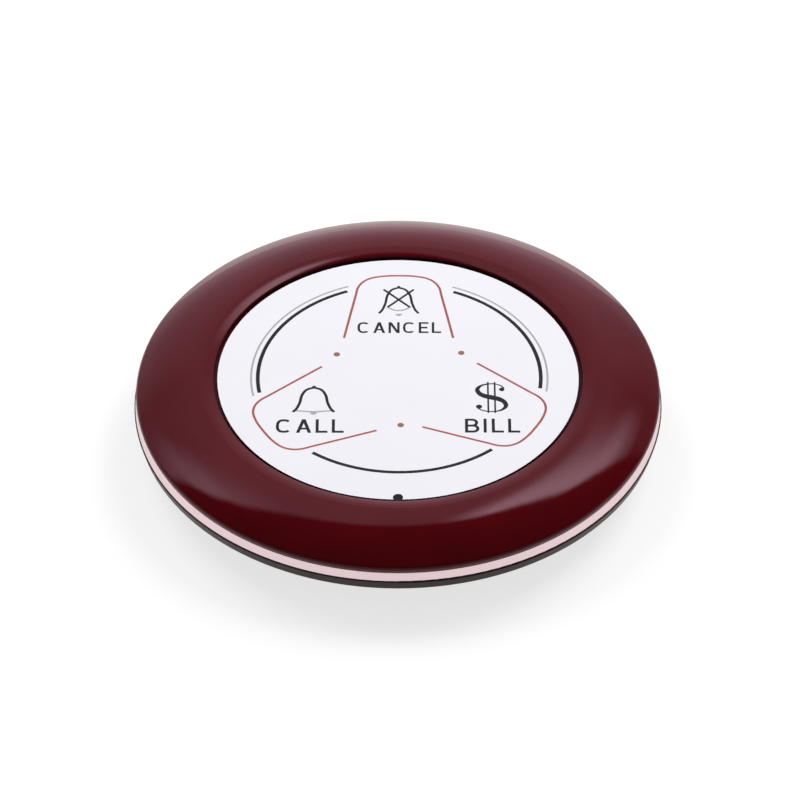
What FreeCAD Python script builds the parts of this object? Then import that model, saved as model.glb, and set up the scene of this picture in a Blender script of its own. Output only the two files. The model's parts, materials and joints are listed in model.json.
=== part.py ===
import FreeCAD, Part
import math
import os

from FreeCAD import Rotation, Vector

# Slim round three-key radio call button for a restaurant table, in millimetres.
# +Z is up and the status light is at the front, towards -Y. The origin is the centre of the circle
# that the four rubber feet stand on. The heights are a stack: each level is the one below it plus
# the thickness or the room between them, so a change of one thickness lifts all that lies above.

# ---- Outer form ----
case_radius = 45.2  # widest point: the top of the base lip
cover_setback = 0.4  # the cover's rounded edge stays this far inside the base lip
dome_ring_width = 11.0  # from the cover's edge in to the crest of the dome
crest_width = 2.3  # from the crest in to the recess of the face
crest_round = 7.0  # radius of the fall from the crest towards the face
recess_edge_round = 0.2
edge_round = 0.7  # rounding of the cover's outer edge
side_drop = 0.86  # from the centre of that rounding down to the cover's lower edge
side_inset = 0.28  # the side leans in by this much at its lower edge
dome_wall = 1.9  # moulded thickness of the dome
trim_height = 1.55  # visible height of the bright trim band
trim_flare = 0.5  # the band widens by this much from top to bottom
trim_setback = 0.18  # the band's foot stays this far inside the base lip
trim_round = 0.12
lip_height = 1.8  # visible height of the dark base lip
lip_taper = 0.45  # the lip narrows by this much towards its lower edge
underside_rise = 4.03  # height of the slanted underside below the lip
underside_inset = 5.0  # the slant runs in by this much down to the flat bottom
rim_round = 0.15
lip_round = 0.3
bottom_round = 0.6

# ---- Face: recess, label, keys ----
face_depth = 0.75  # crest down to the label's surface
label_gap = 0.68  # between the label's edge and the wall of the recess
overlay_thick = 0.35
adhesive_thick = 0.15
adhesive_inset = 0.4  # the adhesive stays this far inside the label's edge
plate_thick = 1.3  # the cover's plate under the label
tab_start = 10.4  # inner end of a key, from the centre
tab_margin = 4.9  # from the outer end of a key to the label's edge
tab_half_width = 9.25  # half the key's width at its inner end
tab_narrowing = 0.17  # each flank leans in by this much per millimetre outwards
tab_outer_round = 3.6
tab_inner_round = 1.2
smallest_round = 0.3  # of a tab outline shrunk by more than its rounding
key_gap = 0.22  # between a key and its opening
key_sink = 0.05  # the key's top lies this far under the plate's top
key_top_thick = 0.8
key_wall = 1.1
key_rib = 0.8
flange_reach = 0.9  # the key's flange reaches this far past the opening
flange_thick = 0.55
flange_play = 0.05  # between flange and plate at rest
nib_length = 0.5  # the nib stands out under the flange by this much
nib_radius = 1.3
nib_gap = 0.05  # between nib and switch plunger at rest
key_travel = 0.35  # stroke of the switches, and so of the keys

# ---- Switches on the board ----
switch_side = 5.2
switch_height = 1.5
switch_corner = 0.6
plunger_proud = 0.45  # the plunger stands out of the switch by this much
plunger_radius = 0.95
plunger_gap = 0.05
plunger_flange_reach = 0.4
plunger_flange_thick = 0.3
plunger_roof = 0.25  # thickness of the switch's metal top
cavity_gap = 0.25  # room around the plunger's flange
cavity_spare = 0.15  # room left under the pressed plunger
lead_thick = 0.2
lead_width = 0.7
lead_reach = 0.8
lead_spacing = 3.0

# ---- Battery, its door and its contacts ----
cell_radius = 10.0
cell_thick = 3.2
cell_cap_inset = 1.1  # the negative cap is this much smaller than the can
cell_cap_height = 0.3
cell_gap = 0.05  # between cell and door
contact_room = 0.45  # between cell and board, for the negative contact
contact_thick = 0.2
contact_touch = 0.02
holder_gap = 0.3
holder_wall = 1.5
holder_depth = 1.9
holder_slot_angle = 40.0  # for the positive contact, and opposite it for a fingernail
leaf_length = 12.0  # of the negative contact
leaf_cross_length = 8.0
leaf_width = 3.0
dimple_radius = 0.6
dimple_foot_radius = 1.4
tab_angle = 26.0  # of the positive contact round the cell
tab_foot_angle = 20.0
tab_foot_reach = 1.5
door_plate_thick = 1.5
door_flange_thick = 0.75
door_play = 0.05  # axial play of the closed door
door_gap = 0.08  # radial running gap of the door
door_step = 1.7  # the flange is this much wider than the barrel
barrel_wall = 1.9
barrel_room = 1.0  # between the cell and the barrel around it
bayonet_ledge = 1.4  # thickness of the ledge that the lugs grip
lug_thick = 0.8
lug_reach = 1.3
lug_angle = 24.0
lug_count = 3
door_turn = 40.0  # from locked to free
notch_spare = 2.0  # extra angle at each side of a lug in its notch
stop_angle = 5.0
stop_spare = 1.5
stop_height = 0.7
collar_gap = 0.4  # between the door's flange and the collar, seen from above
collar_wall = 1.2
collar_height = 2.0  # of the battery bay's collar above the floor
coin_slot_length = 18.0
coin_slot_width = 2.2
coin_slot_depth = 0.9
door_seal_radius = 0.44  # of the seal ring's round section
seal_groove_spare = 0.06

# ---- Base, board and fasteners ----
foot_stand = 0.8  # the feet stand out of the base by this much
foot_sink = 0.4
foot_radius = 4.0
foot_gap = 0.1
foot_chamfer = 0.25
foot_circle_inset = 12.2  # from the case's edge in to the centres of the feet
foot_count = 4
floor_thick = 1.6
base_wall = 2.0
floor_rib_height = 1.2
floor_rib_width = 1.0
floor_rib_count = 8
floor_rib_start = 22.5
ring_rib_radius = 26.0
rim_width = 3.1  # width of the base's top rim
ledge_width = 1.6  # ledge inside the rim, for the case seal
ledge_drop = 2.0  # from the rim's top down to that ledge
skirt_thick = 1.1
skirt_gap = 0.1
case_seal_radius = 0.39
case_seal_squeeze = 0.01
tongue_thick = 0.8
tongue_length = 1.1
tongue_gap = 0.1
tongue_inset = 2.2  # from the case's edge in to the middle of the tongues
board_thick = 1.0
board_gap = 0.5
boss_radius = 2.4
screw_inset = 9.6  # from the case's edge in to the screws' axes
screw_count = 4
screw_start = 45.0  # direction of the first case screw
screw_shank = 0.95
screw_bite = 3.6  # the screw's length in the cover's boss
head_radius = 1.9
head_height = 1.3
head_gap = 0.25
head_crown = 0.55  # the head's flat crown and its straight side, as a part of its radius and height
screw_tip = 0.6
screw_tip_radius = 0.15
cross_length = 1.9
cross_width = 0.45
cross_depth = 0.72
post_wall = 0.85
post_foot = 2.1  # from the underside up to the seat of the screw's head
post_height = 2.6  # of the screw posts above the floor
board_boss_radius = 2.1
board_screw_inset = 3.1
board_screw_count = 3
board_screw_bite = 2.4
pilot_gap = 0.02
pass_gap = 0.15  # around a screw in a hole that it only passes
rib_width = 1.0
plate_rib_height = 0.9
plate_rib_start = 4.0
plate_rib_end = 20.0

# ---- Light, chip parts, antenna ----
light_radius = 0.75
light_gap = 0.05
light_inset = 0.5  # from the label's edge in to the light's axis
light_flange_reach = 0.7
light_flange_thick = 0.8
light_sink = 0.1  # the light guide ends this far under the label's surface
led_height = 1.0
led_gap = 0.3
antenna_radius = 1.0
antenna_wire = 0.25
antenna_pitch = 1.0
antenna_turns = 9
antenna_standoff = 0.1

# Each place on the board is (distance in from the board's edge, direction, turn), the angles in degrees.
antenna_place = (8.6, 150.0, 240.0)
chip_lift = 0.1  # a moulded chip stands clear of the board
chip_chamfer = 0.12
chip_lead_thick = 0.2
chip_lead_reach = 1.0
controller_size = (8.6, 3.9, 1.6)
controller_lead_count = 7  # on each side
controller_lead_pitch = 1.2
controller_lead_width = 0.4
controller_place = (11.6, 30.0, 120.0)
transistor_size = (2.9, 1.3, 1.1)
transistor_lead_count = 1
transistor_lead_pitch = 1.9
transistor_lead_width = 0.45
transistor_place = (15.6, 150.0, 60.0)
crystal_size = (5.0, 3.2, 0.7)
crystal_lid = (4.4, 2.6, 0.4)
crystal_place = (19.1, 30.0, 120.0)
led_size = (3.2, 1.6)
led_lens = (2.2, 1.5)
led_resistor_gap = 2.2  # between the status light and the resistor beside it
capacitor_size = (2.0, 1.25, 0.8)
capacitor_places = [(6.6, 18.0, 108.0), (6.1, 42.0, 132.0), (23.6, 40.0, 130.0), (14.6, 268.0, 0.0)]
resistor_size = (2.0, 1.25, 0.5)
resistor_places = [(10.6, 264.0, 0.0), (10.6, 276.0, 0.0), (20.6, 150.0, 60.0), (26.6, 270.0, 0.0)]

weld = 0.3  # how far a boss or rib runs into the wall that carries it
past = 1.0  # how far a cutting tool runs past the face that it cuts

# ---- Levels, from the table up ----
base_z = foot_stand
floor_z = base_z + floor_thick
cell_z = base_z + door_plate_thick + cell_gap
cell_top_z = cell_z + cell_thick
board_z = cell_top_z + contact_room
board_top_z = board_z + board_thick
switch_top_z = board_top_z + switch_height
plunger_top_z = switch_top_z + plunger_proud
nib_z = plunger_top_z + nib_gap
flange_z = nib_z + nib_length
flange_top_z = flange_z + flange_thick
plate_z = flange_top_z + flange_play
plate_top_z = plate_z + plate_thick
key_top_z = plate_top_z - key_sink
overlay_z = plate_top_z + adhesive_thick
overlay_top_z = overlay_z + overlay_thick
crest_z = overlay_top_z + face_depth
lip_z = base_z + underside_rise
rim_z = lip_z + lip_height
ledge_z = rim_z - ledge_drop
cover_z = rim_z + trim_height
edge_z = cover_z + side_drop
skirt_z = ledge_z + 2 * case_seal_radius + 2 * case_seal_squeeze
post_top_z = floor_z + post_height
head_seat_z = base_z + post_foot
bayonet_z = base_z + door_flange_thick + door_play
ledge_top_z = bayonet_z + bayonet_ledge
lug_z = ledge_top_z + door_play
lug_top_z = lug_z + lug_thick

# ---- Radii, from the case's edge in and from the cell out ----
cover_radius = case_radius - cover_setback
edge_centre_radius = cover_radius - edge_round
crest_radius = cover_radius - dome_ring_width
recess_radius = crest_radius - crest_width
label_radius = recess_radius - label_gap
tab_end = label_radius - tab_margin
switch_place = (tab_start + tab_end) / 2
rim_radius = case_radius - rim_width
skirt_radius = rim_radius - skirt_gap
skirt_inner_radius = skirt_radius - skirt_thick
ledge_radius = rim_radius - ledge_width
tongue_radius = case_radius - tongue_inset
screw_circle = case_radius - screw_inset
foot_circle = case_radius - foot_circle_inset
board_radius = screw_circle - boss_radius - board_gap
board_screw_circle = board_radius - board_screw_inset
light_place = label_radius - light_inset
barrel_inner_radius = cell_radius + barrel_room
barrel_radius = barrel_inner_radius + barrel_wall
door_radius = barrel_radius + door_step
bayonet_radius = barrel_radius + door_gap
lug_radius = barrel_radius + lug_reach
collar_inner_radius = door_radius + collar_gap
collar_radius = collar_inner_radius + collar_wall
holder_inner_radius = cell_radius + holder_gap
holder_radius = holder_inner_radius + holder_wall

# Each key with the direction of its axis, in degrees from +X towards +Y.
key_directions = {"cancel": 90.0, "call": 210.0, "bill": 330.0}

origin = Vector(0, 0, 0)
up = Vector(0, 0, 1)


# ---- Helpers ----
def at(radius, angle, height=0.0):
    """The point at that radius, direction in degrees and height."""
    turn = math.radians(angle)
    return Vector(radius * math.cos(turn), radius * math.sin(turn), height)


def angles(count, first=0.0):
    """Directions evenly spaced round the circle."""
    return [first + 360.0 * step / count for step in range(count)]


def turned(shape, angle):
    """A copy of the shape, turned about the object's axis."""
    copy = shape.copy()
    copy.rotate(origin, up, angle)
    return copy


def placed(shape, place, angle=0.0):
    """A copy of a shape made at the origin, turned about +Z and moved to place."""
    copy = turned(shape, angle)
    copy.translate(place)
    return copy


def cylinder(radius, low, high, place=origin):
    return Part.makeCylinder(radius, high - low, Vector(place.x, place.y, low))


def tube(inner, outer, low, high):
    return cylinder(outer, low, high).cut(cylinder(inner, low - past, high + past))


def block(length, width, low, high, middle=0.0):
    """A box along X, centred on the X axis at middle."""
    return Part.makeBox(length, width, high - low, Vector(middle - length / 2, -width / 2, low))


def sector(inner, outer, low, high, width, direction):
    """A piece of a ring, width degrees wide about that direction."""
    whole = Part.makeCylinder(outer, high - low, Vector(0, 0, low), up, width)
    piece = whole.cut(cylinder(inner, low - past, high + past))
    return turned(piece, direction - width / 2)


def fused(shapes):
    """One solid of shapes that run into each other."""
    first, *rest = shapes
    return first.fuse(rest).removeSplitter() if rest else first


def outline(corners):
    """A closed outline in the XZ plane. Each corner is (radius, height) or has a rounding as well."""
    points = [Vector(corner[0], 0, corner[1]) for corner in corners]
    bends = []
    for index, corner in enumerate(corners):
        here = points[index]
        if len(corner) == 2:
            bends.append((here, None, here))
            continue
        rounding = corner[2]
        back = (points[index - 1] - here).normalize()
        forth = (points[(index + 1) % len(points)] - here).normalize()
        half_angle = back.getAngle(forth) / 2
        reach = rounding / math.tan(half_angle)
        inward = (back + forth).normalize()
        middle = here + inward * (rounding / math.sin(half_angle) - rounding)
        bends.append((here + back * reach, middle, here + forth * reach))
    edges = []
    for index, (start, middle, end) in enumerate(bends):
        if middle:
            edges.append(Part.Arc(start, middle, end).toShape())
        following = bends[(index + 1) % len(bends)][0]
        edges.append(Part.LineSegment(end, following).toShape())
    return Part.Wire(edges)


def revolved(wire):
    return Part.Face(wire).revolve(origin, up, 360)


def on_arc(centre, radius, angle):
    """A point in the XZ plane on an arc, angle in radians from +X towards +Z."""
    return Vector(centre.x + radius * math.cos(angle), 0, centre.z + radius * math.sin(angle))


def arc(centre, radius, start, end):
    """An arc in the XZ plane between two angles."""
    middle = (start + end) / 2
    ends = (on_arc(centre, radius, start), on_arc(centre, radius, end))
    return Part.Arc(ends[0], on_arc(centre, radius, middle), ends[1]).toShape()


def polyline(points):
    return [Part.LineSegment(a, b).toShape() for a, b in zip(points, points[1:])]


def tab_prism(grow, low, high):
    """The outline shared by a key, its opening and its flange, along +Y and wider by grow all round.

    The flanks lean in towards the outer end, which is an arc about the object's axis.
    """
    lean = math.hypot(1, tab_narrowing)
    inner_y = tab_start - grow
    outer_radius = tab_end + grow
    inner_x = tab_half_width + tab_narrowing * grow + grow * lean
    outer_x = inner_x - tab_narrowing * (outer_radius - inner_y)
    corners = [
        Vector(-inner_x, inner_y, low),
        Vector(inner_x, inner_y, low),
        Vector(outer_x, outer_radius, low),
        Vector(-outer_x, outer_radius, low),
    ]
    flat = Part.Face(Part.makePolygon(corners + corners[:1]))
    prism = flat.extrude(Vector(0, 0, high - low))
    prism = prism.common(cylinder(outer_radius, low, high))
    uprights = [edge for edge in prism.Edges if abs(edge.tangentAt(edge.FirstParameter).z) > 0.99]
    inner_edges = [edge for edge in uprights if edge.CenterOfMass.y < switch_place]
    outer_edges = [edge for edge in uprights if edge.CenterOfMass.y > switch_place]
    prism = prism.makeFillet(max(tab_outer_round + grow, smallest_round), outer_edges)
    inner_edges = [
        edge
        for edge in prism.Edges
        if any((edge.CenterOfMass - old.CenterOfMass).Length < 1e-4 for old in inner_edges)
    ]
    return prism.makeFillet(max(tab_inner_round + grow, smallest_round), inner_edges)


def for_each_key(shape):
    """The shape made along +Y, once for each key."""
    return [turned(shape, direction - 90) for direction in key_directions.values()]


# ---- The dome's section ----
crest_to_edge = edge_centre_radius - crest_radius
crest_above_edge = crest_z - edge_z
dome_radius = (crest_to_edge**2 + crest_above_edge**2 - edge_round**2) / (
    2 * (crest_above_edge - edge_round)
)
dome_centre = Vector(crest_radius, 0, crest_z - dome_radius)
edge_centre = Vector(edge_centre_radius, 0, edge_z)
crest_centre = Vector(crest_radius, 0, crest_z - crest_round)
recess_edge_x = recess_radius + recess_edge_round
recess_edge_rise = math.sqrt(
    (crest_round - recess_edge_round) ** 2 - (crest_radius - recess_edge_x) ** 2
)
recess_edge_centre = Vector(recess_edge_x, 0, crest_centre.z + recess_edge_rise)
side_foot = Vector(cover_radius - side_inset, 0, cover_z)


def dome_outline():
    """The cover's outside as a closed section: face plate, recess, crest, dome, edge, side."""
    to_edge = edge_centre - dome_centre
    join_angle = math.atan2(to_edge.z, to_edge.x)
    to_foot = side_foot - edge_centre
    side_angle = math.atan2(to_foot.z, to_foot.x) + math.acos(edge_round / to_foot.Length)
    fall_angle = math.atan2(recess_edge_rise, recess_edge_x - crest_radius)
    start = [
        Vector(0, 0, plate_top_z),
        Vector(recess_radius, 0, plate_top_z),
        Vector(recess_radius, 0, recess_edge_centre.z),
    ]
    end = [
        on_arc(edge_centre, edge_round, side_angle),
        side_foot,
        Vector(0, 0, cover_z),
        start[0],
    ]
    return Part.Wire(
        polyline(start)
        + [arc(recess_edge_centre, recess_edge_round, math.pi, fall_angle)]
        + [arc(crest_centre, crest_round, fall_angle, math.pi / 2)]
        + [arc(dome_centre, dome_radius, math.pi / 2, join_angle)]
        + [arc(edge_centre, edge_round, join_angle, side_angle)]
        + polyline(end)
    )


def dome_cavity():
    """The hollow under the dome, up to the underside of the face plate."""
    inner_radius = dome_radius - dome_wall
    reach = skirt_inner_radius - crest_radius
    wall_angle = math.acos(reach / inner_radius)
    shoulder = on_arc(dome_centre, inner_radius, wall_angle)
    top = Vector(crest_radius, 0, dome_centre.z + inner_radius)
    low = skirt_z - past
    around = [
        top,
        Vector(0, 0, top.z),
        Vector(0, 0, low),
        Vector(skirt_inner_radius, 0, low),
        shoulder,
    ]
    section = Part.Wire(
        polyline(around) + [arc(dome_centre, inner_radius, wall_angle, math.pi / 2)]
    )
    return revolved(section).common(cylinder(cover_radius, low, plate_z))


# ---- Case ----
def top_cover():
    """Domed cover with the face plate, key openings, skirt, trim groove, screw bosses and ribs."""
    skirt = tube(skirt_inner_radius, skirt_radius, skirt_z, cover_z + weld)
    groove = tube(
        tongue_radius - tongue_thick / 2 - tongue_gap,
        tongue_radius + tongue_thick / 2 + tongue_gap,
        cover_z - past,
        cover_z + tongue_length + tongue_gap,
    )
    bosses = []
    pilots = []
    for angle in angles(screw_count, screw_start):
        place = at(screw_circle, angle)
        bosses.append(cylinder(boss_radius, post_top_z, plate_z + weld, place))
        reach = skirt_inner_radius + weld - screw_circle
        gusset = block(reach, rib_width, skirt_z + past, plate_z + weld, screw_circle + reach / 2)
        bosses.append(turned(gusset, angle))
        pilot_end = post_top_z + screw_bite + pilot_gap
        pilots.append(cylinder(screw_shank + pilot_gap, post_top_z - past, pilot_end, place))
    for angle in angles(board_screw_count):
        place = at(board_screw_circle, angle)
        bosses.append(cylinder(board_boss_radius, board_top_z, plate_z + weld, place))
        pilot_end = board_top_z + board_screw_bite + pilot_gap
        pilots.append(cylinder(screw_shank + pilot_gap, board_top_z - past, pilot_end, place))
    rib_length = plate_rib_end - plate_rib_start
    rib_middle = plate_rib_start + rib_length / 2
    rib = block(rib_length, rib_width, plate_z - plate_rib_height, plate_z + weld, rib_middle)
    bosses += [turned(rib, direction + 60) for direction in key_directions.values()]
    openings = for_each_key(tab_prism(0, plate_z - past, plate_top_z + past))
    light_hole = cylinder(
        light_radius + light_gap, plate_z - past, plate_top_z + past, Vector(0, -light_place, 0)
    )
    shell = revolved(dome_outline()).cut(dome_cavity())
    return fused([shell, skirt] + bosses).cut([groove, light_hole] + openings + pilots)


def trim_band():
    """Bright ring between cover and base, with a tongue up into the cover and one down into the base."""
    inner = rim_radius + skirt_gap / 2
    tongue_inner = tongue_radius - tongue_thick / 2
    tongue_outer = tongue_radius + tongue_thick / 2
    foot = case_radius - trim_setback
    corners = [
        (inner, rim_z),
        (tongue_inner, rim_z),
        (tongue_inner, rim_z - tongue_length),
        (tongue_outer, rim_z - tongue_length),
        (tongue_outer, rim_z),
        (foot, rim_z, trim_round),
        (foot - trim_flare, cover_z, trim_round),
        (tongue_outer, cover_z),
        (tongue_outer, cover_z + tongue_length),
        (tongue_inner, cover_z + tongue_length),
        (tongue_inner, cover_z),
        (inner, cover_z),
    ]
    return revolved(outline(corners))


def base_shell():
    """The base as turned: flat bottom, slanted underside, lip, rim with groove, seal ledge and bowl."""
    flat_radius = case_radius - lip_taper - underside_inset
    slant = math.hypot(underside_inset, underside_rise)
    run = underside_inset / slant
    rise = underside_rise / slant
    bowl_radius = flat_radius - base_wall * rise + (floor_thick - base_wall * run) * run / rise
    bowl_top_z = floor_z + (ledge_radius - bowl_radius) * rise / run
    groove_depth = tongue_length + tongue_gap
    groove_inner = tongue_radius - tongue_thick / 2 - tongue_gap
    groove_outer = tongue_radius + tongue_thick / 2 + tongue_gap
    corners = [
        (0, base_z),
        (flat_radius, base_z, bottom_round),
        (case_radius - lip_taper, lip_z, lip_round),
        (case_radius, rim_z, rim_round),
        (groove_outer, rim_z),
        (groove_outer, rim_z - groove_depth),
        (groove_inner, rim_z - groove_depth),
        (groove_inner, rim_z),
        (rim_radius, rim_z),
        (rim_radius, ledge_z),
        (ledge_radius, ledge_z),
        (ledge_radius, bowl_top_z),
        (bowl_radius, floor_z),
        (0, floor_z),
    ]
    return revolved(outline(corners))


def base():
    """Base with screw posts, floor ribs, foot pockets and the battery bay's bayonet ring."""
    post_radius = head_radius + head_gap + post_wall
    added = [
        cylinder(collar_radius, base_z + floor_thick / 2, ledge_top_z),
        tube(collar_inner_radius, collar_radius, floor_z - weld, floor_z + collar_height),
        tube(ring_rib_radius, ring_rib_radius + rib_width, floor_z - weld, floor_z + rib_width),
    ]
    rib_length = ledge_radius - base_wall - collar_radius + weld
    for angle in angles(floor_rib_count, floor_rib_start):
        rib = block(
            rib_length,
            floor_rib_width,
            floor_z - weld,
            floor_z + floor_rib_height,
            collar_radius - weld + rib_length / 2,
        )
        added.append(turned(rib, angle))
    cuts = [
        cylinder(bayonet_radius, base_z - past, ledge_top_z + past),
        cylinder(door_radius + door_gap, base_z - past, bayonet_z),
    ]
    stops = []
    for angle in angles(lug_count, 90.0):
        notch_width = lug_angle + 2 * notch_spare
        notch_outer = lug_radius + 2 * door_gap
        cuts.append(
            sector(
                barrel_radius - weld,
                notch_outer,
                base_z,
                ledge_top_z + past,
                notch_width,
                angle - door_turn,
            )
        )
        locked_stop = angle + lug_angle / 2 + stop_spare + stop_angle / 2
        free_stop = angle - door_turn - lug_angle / 2 - notch_spare - stop_spare - stop_angle / 2
        for direction in (locked_stop, free_stop):
            stops.append(
                sector(
                    bayonet_radius + door_gap,
                    collar_inner_radius + weld,
                    ledge_top_z - weld,
                    ledge_top_z + stop_height,
                    stop_angle,
                    direction,
                )
            )
    for angle in angles(screw_count, screw_start):
        place = at(screw_circle, angle)
        added.append(cylinder(post_radius, base_z + floor_thick / 2, post_top_z, place))
        cuts.append(cylinder(head_radius + head_gap, base_z - past, head_seat_z, place))
        cuts.append(cylinder(screw_shank + pass_gap, base_z, post_top_z + past, place))
    for angle in angles(foot_count):
        place = at(foot_circle, angle)
        cuts.append(cylinder(foot_radius + foot_gap, base_z - past, base_z + foot_sink, place))
    body = fused([base_shell()] + added).cut(cuts)
    return fused([body] + stops)


def case_seal():
    """Soft ring between the cover's skirt and the base's ledge."""
    height = ledge_z + case_seal_radius + case_seal_squeeze
    centre_radius = skirt_radius - skirt_thick / 2
    return Part.makeTorus(centre_radius, case_seal_radius, Vector(0, 0, height))


def foot_pads():
    profile = [
        (0, 0),
        (foot_radius - foot_chamfer, 0),
        (foot_radius, foot_chamfer),
        (foot_radius, base_z + foot_sink),
        (0, base_z + foot_sink),
    ]
    pad = revolved(outline(profile))
    return Part.makeCompound([placed(pad, at(foot_circle, angle)) for angle in angles(foot_count)])


# ---- Face ----
def light_notch(low, high):
    return cylinder(light_radius + 2 * light_gap, low, high, Vector(0, -light_place, 0))


def face_overlay():
    """Printed label film over the keys, notched at the status light."""
    film = cylinder(label_radius, overlay_z, overlay_top_z)
    return film.cut(light_notch(overlay_z - past, overlay_top_z + past))


def overlay_adhesive():
    """Adhesive film under the label, cut away over the keys."""
    film = cylinder(label_radius - adhesive_inset, plate_top_z, overlay_z)
    windows = for_each_key(tab_prism(key_gap, plate_top_z - past, overlay_z + past))
    return film.cut(windows + [light_notch(plate_top_z - past, overlay_z + past)])


def key_cap():
    """A key along +Y: a cored cap with a retaining flange, ribs and a nib over its switch."""
    core_z = key_top_z - key_top_thick
    cap = tab_prism(-key_gap, flange_z, key_top_z)
    flange = tab_prism(flange_reach, flange_z, flange_top_z)
    core = tab_prism(-key_gap - key_wall, flange_z - past, core_z)
    nib = cylinder(nib_radius, nib_z, core_z + weld, Vector(0, switch_place, 0))
    long_rib = Part.makeBox(key_rib, tab_end, core_z - flange_z + weld)
    long_rib.translate(Vector(-key_rib / 2, tab_start, flange_z))
    cross_rib = Part.makeBox(2 * tab_half_width, key_rib, core_z - flange_z + weld)
    cross_rib.translate(Vector(-tab_half_width, switch_place - key_rib / 2, flange_z))
    ribs = fused([long_rib, cross_rib]).common(tab_prism(-key_gap - key_wall / 2, flange_z, key_top_z))
    return fused([cap.fuse(flange).cut(core), ribs, nib])


def switch_body():
    """Surface-mount push switch at the origin: body with a plunger well and four leads."""
    half = switch_side / 2
    body = block(switch_side, switch_side, board_top_z, switch_top_z)
    uprights = [edge for edge in body.Edges if abs(edge.tangentAt(edge.FirstParameter).z) > 0.99]
    body = body.makeChamfer(switch_corner, uprights)
    well_top_z = switch_top_z - plunger_roof
    flange_low_z = well_top_z - plunger_gap - plunger_flange_thick
    well = cylinder(
        plunger_radius + plunger_flange_reach + cavity_gap,
        flange_low_z - key_travel - cavity_spare,
        well_top_z,
    )
    hole = cylinder(plunger_radius + plunger_gap, well_top_z - weld, switch_top_z + past)
    leads = []
    for side in (-1, 1):
        for row in (-1, 1):
            foot = block(lead_reach + weld, lead_width, board_top_z, board_top_z + lead_thick)
            riser = block(lead_thick, lead_width, board_top_z, board_top_z + switch_height / 2)
            foot.translate(Vector(side * (half + (lead_reach - weld) / 2), row * lead_spacing / 2, 0))
            riser.translate(Vector(side * (half + lead_thick / 2), row * lead_spacing / 2, 0))
            leads += [foot, riser]
    return fused([body.cut([well, hole])] + leads)


def switch_plunger():
    """The switch's plunger at the origin, with the flange that keeps it in the well."""
    flange_high_z = switch_top_z - plunger_roof - plunger_gap
    flange_low_z = flange_high_z - plunger_flange_thick
    stem = cylinder(plunger_radius, flange_low_z, plunger_top_z)
    flange = cylinder(plunger_radius + plunger_flange_reach, flange_low_z, flange_high_z)
    return fused([stem, flange])


def light_guide():
    """Clear rod from over the status light up to the label, with a flange under the plate."""
    bottom_z = board_top_z + led_height + led_gap
    place = Vector(0, -light_place, 0)
    rod = cylinder(light_radius, bottom_z, overlay_top_z - light_sink, place)
    flange = cylinder(light_radius + light_flange_reach, plate_z - light_flange_thick, plate_z, place)
    return fused([rod, flange])


# ---- Board and the parts on it ----
def circuit_board():
    disc = cylinder(board_radius, board_z, board_top_z)
    holes = []
    for angle in angles(board_screw_count):
        place = at(board_screw_circle, angle)
        holes.append(cylinder(screw_shank + pass_gap, board_z - past, board_top_z + past, place))
    return disc.cut(holes)


def on_board(shape, place):
    """A copy of a shape made at the origin, put at its place on the board."""
    inset, direction, turn = place
    return placed(shape, at(board_radius - inset, direction), turn)


def chip_lead(half_width, height, lead_width):
    """One gull-wing lead along +Y: out of the chip's side, down and out along the board."""
    half_reach = chip_lead_reach / 2
    knee = half_width + half_reach - chip_lead_thick
    shoulder = Part.makeBox(lead_width, half_reach + weld, chip_lead_thick)
    shoulder.translate(Vector(-lead_width / 2, half_width - weld, board_top_z + height / 2))
    riser = Part.makeBox(lead_width, chip_lead_thick, height / 2 + chip_lead_thick)
    riser.translate(Vector(-lead_width / 2, knee, board_top_z))
    foot = Part.makeBox(lead_width, half_reach + chip_lead_thick, chip_lead_thick)
    foot.translate(Vector(-lead_width / 2, knee, board_top_z))
    return fused([shoulder, riser, foot])


def gull_wing_chip(size, lead_count, lead_pitch, lead_width):
    """A moulded chip at the origin, leads along both long sides."""
    length, width, height = size
    body = block(length, width, board_top_z + chip_lift, board_top_z + height)
    upper_edges = [edge for edge in body.Edges if edge.BoundBox.ZMin > board_top_z + chip_lift]
    lead = chip_lead(width / 2, height, lead_width)
    shapes = [body.makeChamfer(chip_chamfer, upper_edges)]
    for index in range(lead_count):
        along = Vector((index - (lead_count - 1) / 2) * lead_pitch, 0, 0)
        shapes += [placed(lead, along), placed(lead, along, 180)]
    return fused(shapes)


def stacked(lower, upper, upper_height):
    """A block on the board with a smaller one on top of it."""
    length, width, height = lower
    body = block(length, width, board_top_z, board_top_z + height)
    top = block(*upper, board_top_z + height, board_top_z + height + upper_height)
    return fused([body, top])


def controller_chip():
    chip = gull_wing_chip(
        controller_size, controller_lead_count, controller_lead_pitch, controller_lead_width
    )
    return on_board(chip, controller_place)


def transistor():
    chip = gull_wing_chip(
        transistor_size, transistor_lead_count, transistor_lead_pitch, transistor_lead_width
    )
    return on_board(chip, transistor_place)


def crystal():
    """Metal-lidded timing crystal."""
    lid_length, lid_width, lid_height = crystal_lid
    return on_board(stacked(crystal_size, (lid_length, lid_width), lid_height), crystal_place)


def status_led():
    """Chip light with a clear lens, under the light guide."""
    lower = (*led_size, led_height / 2)
    return placed(stacked(lower, led_lens, led_height / 2), Vector(0, -light_place, 0))


def chip_part(size):
    length, width, height = size
    return block(length, width, board_top_z, board_top_z + height)


def chip_capacitors():
    body = chip_part(capacitor_size)
    return Part.makeCompound([on_board(body, place) for place in capacitor_places])


def chip_resistors():
    """A group of equal resistors, one of them beside the status light."""
    body = chip_part(resistor_size)
    led_resistor_place = light_place - (led_size[1] + resistor_size[1]) / 2 - led_resistor_gap
    made = [on_board(body, place) for place in resistor_places]
    made.append(placed(body, Vector(0, -led_resistor_place, 0)))
    return Part.makeCompound(made)


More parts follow.
